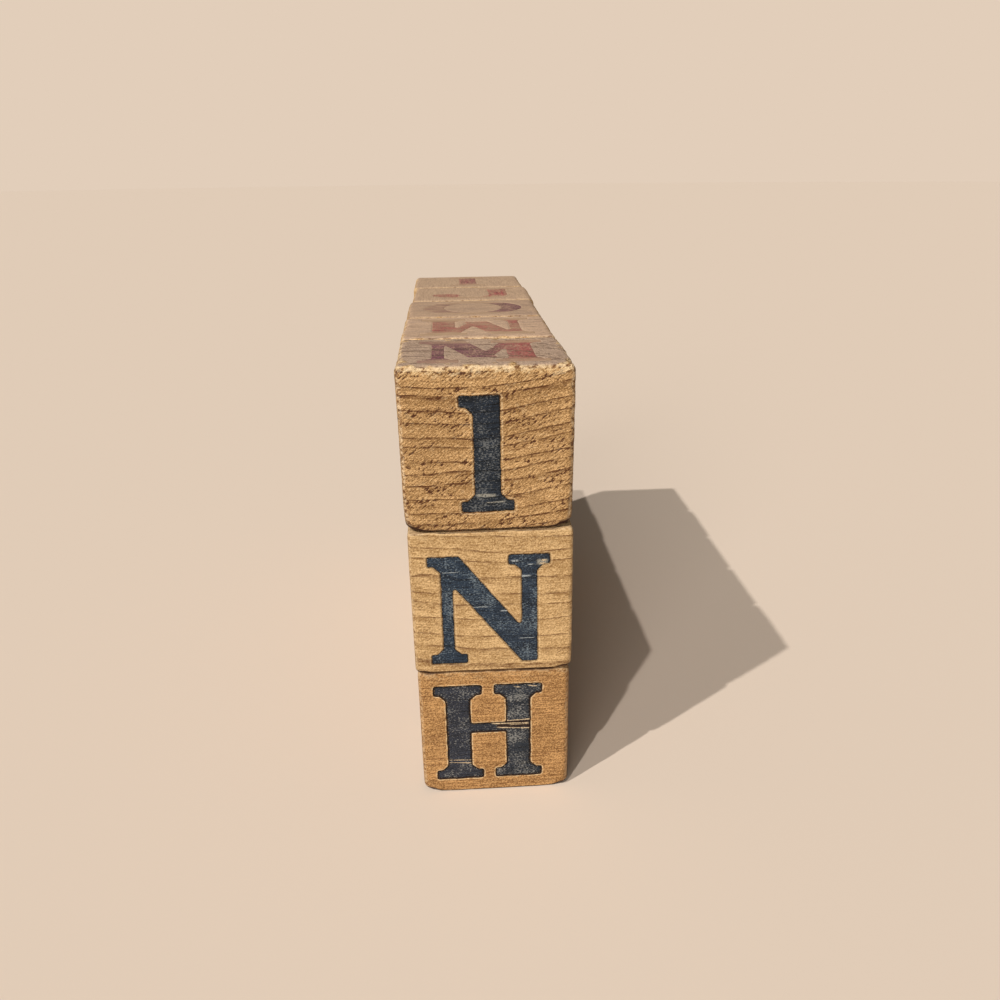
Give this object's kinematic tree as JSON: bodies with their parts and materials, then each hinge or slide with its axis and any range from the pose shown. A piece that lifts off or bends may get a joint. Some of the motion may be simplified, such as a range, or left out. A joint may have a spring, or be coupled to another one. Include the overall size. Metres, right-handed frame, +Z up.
{
  "type": "stack of alphabet blocks",
  "caption": "Stack of sanded wooden alphabet blocks with one printed character on each face; every block lifts off and the columns slide out sideways.",
  "frame": {"origin": "on the floor under the middle of the stack", "axes": "+Z up, +X to the right across one block, +Y from the front column to the back one; the front faces -Y"},
  "size_m": [0.053, 0.1924, 0.153],
  "materials": {
    "pine_wood": "bare aged pine, sanded, worn at the edges",
    "dark_ink": "flat blue-black printing ink, rubbed thin in places",
    "red_ink": "flat red printing ink, faded"
  },
  "bodies": {
    "bottom_1": {"bottom_block_1": "pine_wood", "bottom_block_1_dark_print": "dark_ink", "bottom_block_1_red_print": "red_ink"},
    "bottom_2": {"bottom_block_2": "pine_wood", "bottom_block_2_dark_print": "dark_ink", "bottom_block_2_red_print": "red_ink"},
    "bottom_3": {"bottom_block_3": "pine_wood", "bottom_block_3_dark_print": "dark_ink", "bottom_block_3_red_print": "red_ink"},
    "bottom_4": {"bottom_block_4": "pine_wood", "bottom_block_4_dark_print": "dark_ink", "bottom_block_4_red_print": "red_ink"},
    "bottom_5": {"bottom_block_5": "pine_wood", "bottom_block_5_dark_print": "dark_ink", "bottom_block_5_red_print": "red_ink"},
    "middle_1": {"middle_block_1": "pine_wood", "middle_block_1_dark_print": "dark_ink", "middle_block_1_red_print": "red_ink"},
    "middle_2": {"middle_block_2": "pine_wood", "middle_block_2_dark_print": "dark_ink", "middle_block_2_red_print": "red_ink"},
    "middle_3": {"middle_block_3": "pine_wood", "middle_block_3_dark_print": "dark_ink", "middle_block_3_red_print": "red_ink"},
    "middle_4": {"middle_block_4": "pine_wood", "middle_block_4_dark_print": "dark_ink", "middle_block_4_red_print": "red_ink"},
    "middle_5": {"middle_block_5": "pine_wood", "middle_block_5_dark_print": "dark_ink", "middle_block_5_red_print": "red_ink"},
    "top_1": {"top_block_1": "pine_wood", "top_block_1_dark_print": "dark_ink", "top_block_1_red_print": "red_ink"},
    "top_2": {"top_block_2": "pine_wood", "top_block_2_dark_print": "dark_ink", "top_block_2_red_print": "red_ink"},
    "top_3": {"top_block_3": "pine_wood", "top_block_3_dark_print": "dark_ink", "top_block_3_red_print": "red_ink"},
    "top_4": {"top_block_4": "pine_wood", "top_block_4_dark_print": "dark_ink", "top_block_4_red_print": "red_ink"},
    "top_5": {"top_block_5": "pine_wood", "top_block_5_dark_print": "dark_ink", "top_block_5_red_print": "red_ink"}
  },
  "joints": [
    {"name": "slide_bottom_2", "type": "slide", "parent": "bottom_1", "child": "bottom_2", "axis": [1, 0, 0], "range_m": [-0.06, 0.06]},
    {"name": "slide_bottom_3", "type": "slide", "parent": "bottom_1", "child": "bottom_3", "axis": [1, 0, 0], "range_m": [-0.06, 0.06]},
    {"name": "slide_bottom_4", "type": "slide", "parent": "bottom_1", "child": "bottom_4", "axis": [1, 0, 0], "range_m": [-0.06, 0.06]},
    {"name": "slide_bottom_5", "type": "slide", "parent": "bottom_1", "child": "bottom_5", "axis": [1, 0, 0], "range_m": [-0.06, 0.06]},
    {"name": "lift_middle_1", "type": "slide", "parent": "bottom_1", "child": "middle_1", "axis": [0, 0, 1], "range_m": [0, 0.06]},
    {"name": "lift_middle_2", "type": "slide", "parent": "bottom_2", "child": "middle_2", "axis": [0, 0, 1], "range_m": [0, 0.06]},
    {"name": "lift_middle_3", "type": "slide", "parent": "bottom_3", "child": "middle_3", "axis": [0, 0, 1], "range_m": [0, 0.06]},
    {"name": "lift_middle_4", "type": "slide", "parent": "bottom_4", "child": "middle_4", "axis": [0, 0, 1], "range_m": [0, 0.06]},
    {"name": "lift_middle_5", "type": "slide", "parent": "bottom_5", "child": "middle_5", "axis": [0, 0, 1], "range_m": [0, 0.06]},
    {"name": "lift_top_1", "type": "slide", "parent": "middle_1", "child": "top_1", "axis": [0, 0, 1], "range_m": [0, 0.06]},
    {"name": "lift_top_2", "type": "slide", "parent": "middle_2", "child": "top_2", "axis": [0, 0, 1], "range_m": [0, 0.06]},
    {"name": "lift_top_3", "type": "slide", "parent": "middle_3", "child": "top_3", "axis": [0, 0, 1], "range_m": [0, 0.06]},
    {"name": "lift_top_4", "type": "slide", "parent": "middle_4", "child": "top_4", "axis": [0, 0, 1], "range_m": [0, 0.06]},
    {"name": "lift_top_5", "type": "slide", "parent": "middle_5", "child": "top_5", "axis": [0, 0, 1], "range_m": [0, 0.06]}
  ]
}
